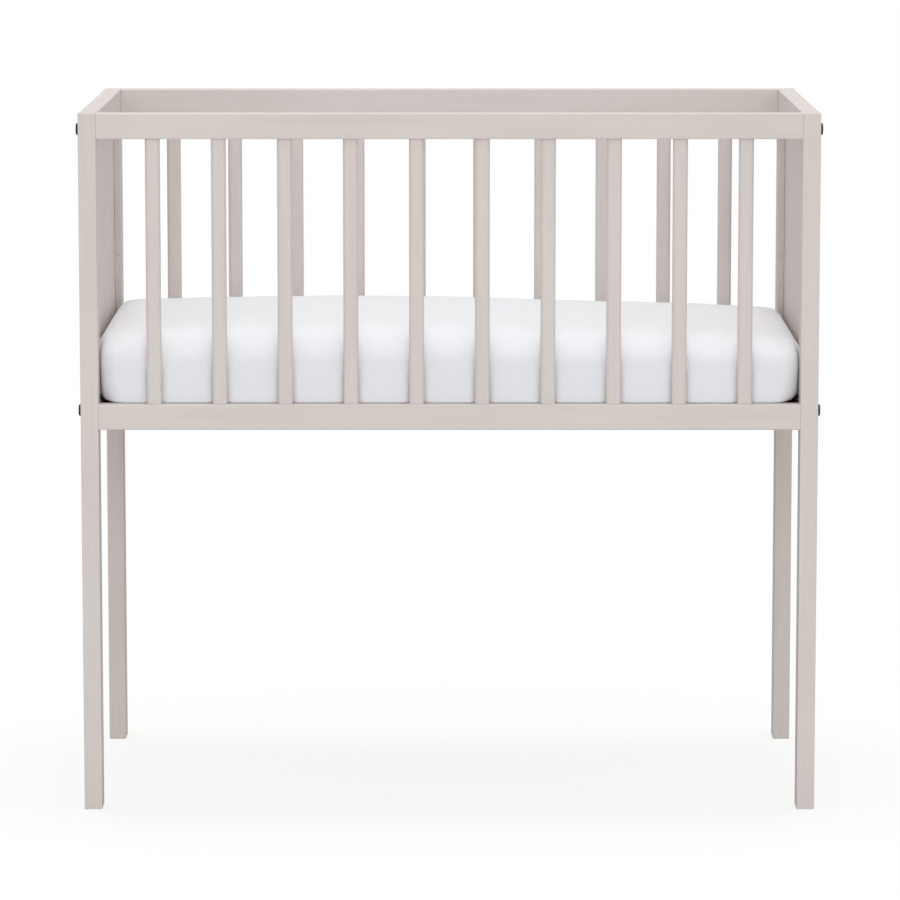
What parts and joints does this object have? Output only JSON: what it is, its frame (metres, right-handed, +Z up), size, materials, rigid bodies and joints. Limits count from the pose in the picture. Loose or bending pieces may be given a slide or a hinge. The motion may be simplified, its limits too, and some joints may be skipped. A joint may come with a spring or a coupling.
{
  "type": "cradle",
  "caption": "Slatted wooden cradle carried high on four straight posts, with solid ends, a base board and a loose mattress.",
  "frame": {"origin": "on the floor, under the middle of the cradle", "axes": "+Z up, +X along the cradle towards its right end, front faces -Y"},
  "size_m": [0.8552, 0.45, 0.811],
  "materials": {
    "frame_paint": "satin greige paint on planed wood, edges eased",
    "bolt_black": "black oxide, semi-gloss",
    "insert_zinc": "bright zinc plate",
    "base_hardboard": "bare brown hardboard, matt",
    "cleat_pine": "planed bare pine",
    "mattress_cover": "soft white knitted cover"
  },
  "bodies": {
    "frame": {"post_front_left": "frame_paint", "post_front_right": "frame_paint", "post_rear_left": "frame_paint", "post_rear_right": "frame_paint", "front_top_rail": "frame_paint", "front_bottom_rail": "frame_paint", "rear_top_rail": "frame_paint", "rear_bottom_rail": "frame_paint", "front_slat_01": "frame_paint", "front_slat_02": "frame_paint", "front_slat_03": "frame_paint", "front_slat_04": "frame_paint", "front_slat_05": "frame_paint", "front_slat_06": "frame_paint", "front_slat_07": "frame_paint", "front_slat_08": "frame_paint", "front_slat_09": "frame_paint", "front_slat_10": "frame_paint", "rear_slat_01": "frame_paint", "rear_slat_02": "frame_paint", "rear_slat_03": "frame_paint", "rear_slat_04": "frame_paint", "rear_slat_05": "frame_paint", "rear_slat_06": "frame_paint", "rear_slat_07": "frame_paint", "rear_slat_08": "frame_paint", "rear_slat_09": "frame_paint", "rear_slat_10": "frame_paint", "end_top_rail_left": "frame_paint", "end_bottom_rail_left": "frame_paint", "end_panel_left": "frame_paint", "end_top_rail_right": "frame_paint", "end_bottom_rail_right": "frame_paint", "end_panel_right": "frame_paint", "bolt_front_left_top": "bolt_black", "bolt_front_left_bottom": "bolt_black", "bolt_front_right_top": "bolt_black", "bolt_front_right_bottom": "bolt_black", "bolt_rear_left_top": "bolt_black", "bolt_rear_left_bottom": "bolt_black", "bolt_rear_right_top": "bolt_black", "bolt_rear_right_bottom": "bolt_black", "insert_front_left_top": "insert_zinc", "insert_front_left_bottom": "insert_zinc", "insert_front_right_top": "insert_zinc", "insert_front_right_bottom": "insert_zinc", "insert_rear_left_top": "insert_zinc", "insert_rear_left_bottom": "insert_zinc", "insert_rear_right_top": "insert_zinc", "insert_rear_right_bottom": "insert_zinc", "base_board": "base_hardboard", "front_cleat": "cleat_pine", "rear_cleat": "cleat_pine", "front_cleat_screw_1": "insert_zinc", "front_cleat_screw_2": "insert_zinc", "front_cleat_screw_3": "insert_zinc", "rear_cleat_screw_1": "insert_zinc", "rear_cleat_screw_2": "insert_zinc", "rear_cleat_screw_3": "insert_zinc"},
    "mattress": {"mattress": "mattress_cover"}
  },
  "joints": [
    {"name": "mattress_lift", "type": "slide", "parent": "frame", "child": "mattress", "axis": [0, 0, 1], "range_m": [0, 0.36]}
  ]
}
